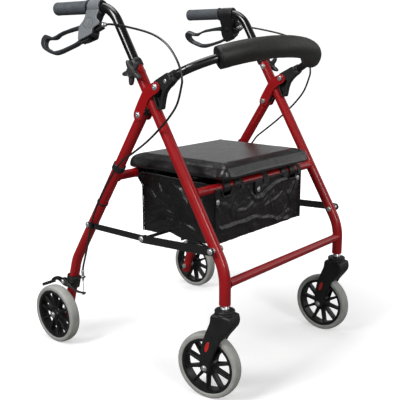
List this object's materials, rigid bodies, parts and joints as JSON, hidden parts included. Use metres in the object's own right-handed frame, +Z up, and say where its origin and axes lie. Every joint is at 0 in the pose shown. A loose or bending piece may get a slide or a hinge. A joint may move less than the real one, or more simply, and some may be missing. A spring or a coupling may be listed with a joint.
{
  "type": "rollator walker",
  "caption": "Folding wheeled walker with padded seat, under-seat bag, looped backrest, height-adjustable handles, loop hand brakes and swivelling front casters.",
  "frame": {"origin": "on the floor under the middle of the seat area, midway between the left and right legs", "axes": "+Z up, -Y is the walking direction, -X is the user's right hand side"},
  "size_m": [0.5924, 0.6453, 0.8662],
  "materials": {
    "red_paint": "gloss",
    "black_paint": "gloss",
    "zinc": "bright zinc plate",
    "grey_plastic": "satin",
    "grip_rubber": "ribbed",
    "foam": "closed-cell foam",
    "tyre": "grey solid tyre",
    "vinyl": "smooth vinyl",
    "nylon": "coated nylon",
    "cable_sheath": "smooth",
    "black_plastic": "satin"
  },
  "bodies": {
    "front_frame": {"front_frame_weldment": "red_paint", "leg_collar_right": "black_plastic", "leg_collar_left": "black_plastic", "fold_bolt_right": "zinc", "fold_bolt_left": "zinc", "backrest_bolt_right": "zinc", "backrest_bolt_left": "zinc", "caster_stem_right": "zinc", "caster_stem_left": "zinc", "bag": "nylon", "brake_cable_right": "cable_sheath", "brake_cable_left": "cable_sheath"},
    "rear_frame": {"rear_frame_weldment": "red_paint", "rear_axle_right": "zinc", "rear_axle_left": "zinc", "brake_bracket_right": "black_paint", "brake_bracket_left": "black_paint"},
    "brace_front": {"brace_front_link_right": "black_paint", "brace_front_link_left": "black_paint"},
    "brace_rear": {"brace_rear_link_right": "black_paint", "brace_rear_link_left": "black_paint", "brace_cross_rod": "black_paint"},
    "seat_leaf": {"seat_hinge_leaf": "black_plastic"},
    "seat": {"seat_board": "black_plastic", "seat_cushion": "vinyl"},
    "backrest": {"backrest_tube": "black_paint", "backrest_foam": "foam", "backrest_holder_right": "black_plastic", "backrest_holder_left": "black_plastic"},
    "handle_right": {"handle_tube_right": "black_paint", "grip_right": "grip_rubber", "brake_housing_right": "black_plastic", "brake_cover_right": "grey_plastic"},
    "knob_right": {"clamp_knob_right": "black_plastic"},
    "brake_pin_right": {"brake_pivot_pin_right": "black_plastic"},
    "brake_lever_right": {"brake_lever_right": "black_plastic"},
    "brake_arm_right": {"brake_arm_right": "black_paint"},
    "rear_wheel_right": {"rear_tyre_right": "tyre", "rear_rim_right": "black_plastic"},
    "caster_right": {"caster_fork_right": "black_plastic", "caster_axle_right": "zinc"},
    "caster_wheel_right": {"caster_tyre_right": "tyre", "caster_rim_right": "black_plastic"},
    "handle_left": {"handle_tube_left": "black_paint", "grip_left": "grip_rubber", "brake_housing_left": "black_plastic", "brake_cover_left": "grey_plastic"},
    "knob_left": {"clamp_knob_left": "black_plastic"},
    "brake_pin_left": {"brake_pivot_pin_left": "black_plastic"},
    "brake_lever_left": {"brake_lever_left": "black_plastic"},
    "brake_arm_left": {"brake_arm_left": "black_paint"},
    "rear_wheel_left": {"rear_tyre_left": "tyre", "rear_rim_left": "black_plastic"},
    "caster_left": {"caster_fork_left": "black_plastic", "caster_axle_left": "zinc"},
    "caster_wheel_left": {"caster_tyre_left": "tyre", "caster_rim_left": "black_plastic"}
  },
  "joints": [
    {"name": "fold", "type": "hinge", "parent": "front_frame", "child": "rear_frame", "pos_m": [0, -0.05, 0.614], "axis": [-1, 0, 0], "range_deg": [0, 33], "deforming": ["bag", "brake_cable_right", "brake_cable_left"]},
    {"name": "brace_front_turn", "type": "hinge", "parent": "front_frame", "child": "brace_front", "pos_m": [0, -0.263, 0.3428], "axis": [1, 0, 0], "range_deg": [0, 39.7]},
    {"name": "brace_rear_turn", "type": "hinge", "parent": "rear_frame", "child": "brace_rear", "pos_m": [0, 0.132, 0.333], "axis": [-1, 0, 0], "range_deg": [0, 42]},
    {"name": "seat_ride", "type": "hinge", "parent": "front_frame", "child": "seat_leaf", "pos_m": [0, -0.1938, 0.4526], "axis": [1, 0, 0], "range_deg": [0, 15]},
    {"name": "seat_lift", "type": "hinge", "parent": "seat_leaf", "child": "seat", "pos_m": [0, -0.1938, 0.4526], "axis": [1, 0, 0], "range_deg": [0, 80]},
    {"name": "backrest_swing", "type": "hinge", "parent": "front_frame", "child": "backrest", "pos_m": [0, -0.1035, 0.677], "axis": [-1, 0, 0], "range_deg": [0, 60]},
    {"name": "handle_height_right", "type": "slide", "parent": "front_frame", "child": "handle_right", "axis": [0, 0.5107, 0.8598], "range_m": [-0.05, 0.075]},
    {"name": "knob_turn_right", "type": "hinge", "parent": "front_frame", "child": "knob_right", "pos_m": [-0.263, -0.04265, 0.707], "axis": [1, 0, 0], "continuous": true},
    {"name": "brake_park_right", "type": "hinge", "parent": "handle_right", "child": "brake_pin_right", "pos_m": [-0.2518, 0.098, 0.80959], "axis": [0.9613, 0, -0.2756], "range_deg": [-20, 0]},
    {"name": "brake_squeeze_right", "type": "hinge", "parent": "brake_pin_right", "child": "brake_lever_right", "pos_m": [-0.2518, 0.098, 0.80959], "axis": [0.9613, 0, -0.2756], "range_deg": [0, 13]},
    {"name": "brake_arm_turn_right", "type": "hinge", "parent": "rear_frame", "child": "brake_arm_right", "pos_m": [-0.258, 0.24, 0.16], "axis": [-1, 0, 0], "range_deg": [0, 3.4]},
    {"name": "rear_wheel_spin_right", "type": "hinge", "parent": "rear_frame", "child": "rear_wheel_right", "pos_m": [-0.2773, 0.246, 0.0762], "axis": [1, 0, 0], "continuous": true},
    {"name": "caster_swivel_right", "type": "hinge", "parent": "front_frame", "child": "caster_right", "pos_m": [-0.2405, -0.285, 0.2], "axis": [0, 0, 1], "continuous": true},
    {"name": "caster_wheel_spin_right", "type": "hinge", "parent": "caster_right", "child": "caster_wheel_right", "pos_m": [-0.24671, -0.2471, 0.0762], "axis": [0.9869, 0.1616, 0], "continuous": true},
    {"name": "handle_height_left", "type": "slide", "parent": "front_frame", "child": "handle_left", "axis": [0, 0.5107, 0.8598], "range_m": [-0.05, 0.075]},
    {"name": "knob_turn_left", "type": "hinge", "parent": "front_frame", "child": "knob_left", "pos_m": [0.263, -0.04265, 0.707], "axis": [1, 0, 0], "continuous": true},
    {"name": "brake_park_left", "type": "hinge", "parent": "handle_left", "child": "brake_pin_left", "pos_m": [0.25911, 0.098, 0.81247], "axis": [0.891, 0, 0.454], "range_deg": [-20, 0]},
    {"name": "brake_squeeze_left", "type": "hinge", "parent": "brake_pin_left", "child": "brake_lever_left", "pos_m": [0.25911, 0.098, 0.81247], "axis": [0.891, 0, 0.454], "range_deg": [0, 13]},
    {"name": "brake_arm_turn_left", "type": "hinge", "parent": "rear_frame", "child": "brake_arm_left", "pos_m": [0.258, 0.24, 0.16], "axis": [-1, 0, 0], "range_deg": [0, 3.4]},
    {"name": "rear_wheel_spin_left", "type": "hinge", "parent": "rear_frame", "child": "rear_wheel_left", "pos_m": [0.2773, 0.246, 0.0762], "axis": [1, 0, 0], "continuous": true},
    {"name": "caster_swivel_left", "type": "hinge", "parent": "front_frame", "child": "caster_left", "pos_m": [0.2405, -0.285, 0.2], "axis": [0, 0, 1], "continuous": true},
    {"name": "caster_wheel_spin_left", "type": "hinge", "parent": "caster_left", "child": "caster_wheel_left", "pos_m": [0.24177, -0.24662, 0.0762], "axis": [0.9995, -0.0332, 0], "continuous": true}
  ],
  "couplings": [
    {"joint": "brace_front_turn", "follows": "fold", "ratio": 1.1996},
    {"joint": "brace_rear_turn", "follows": "fold", "ratio": 1.2707},
    {"joint": "seat_ride", "follows": "fold", "ratio": 0.45454},
    {"joint": "brake_arm_turn_right", "follows": "brake_squeeze_right", "ratio": 0.2615},
    {"joint": "brake_arm_turn_left", "follows": "brake_squeeze_left", "ratio": 0.2615}
  ]
}
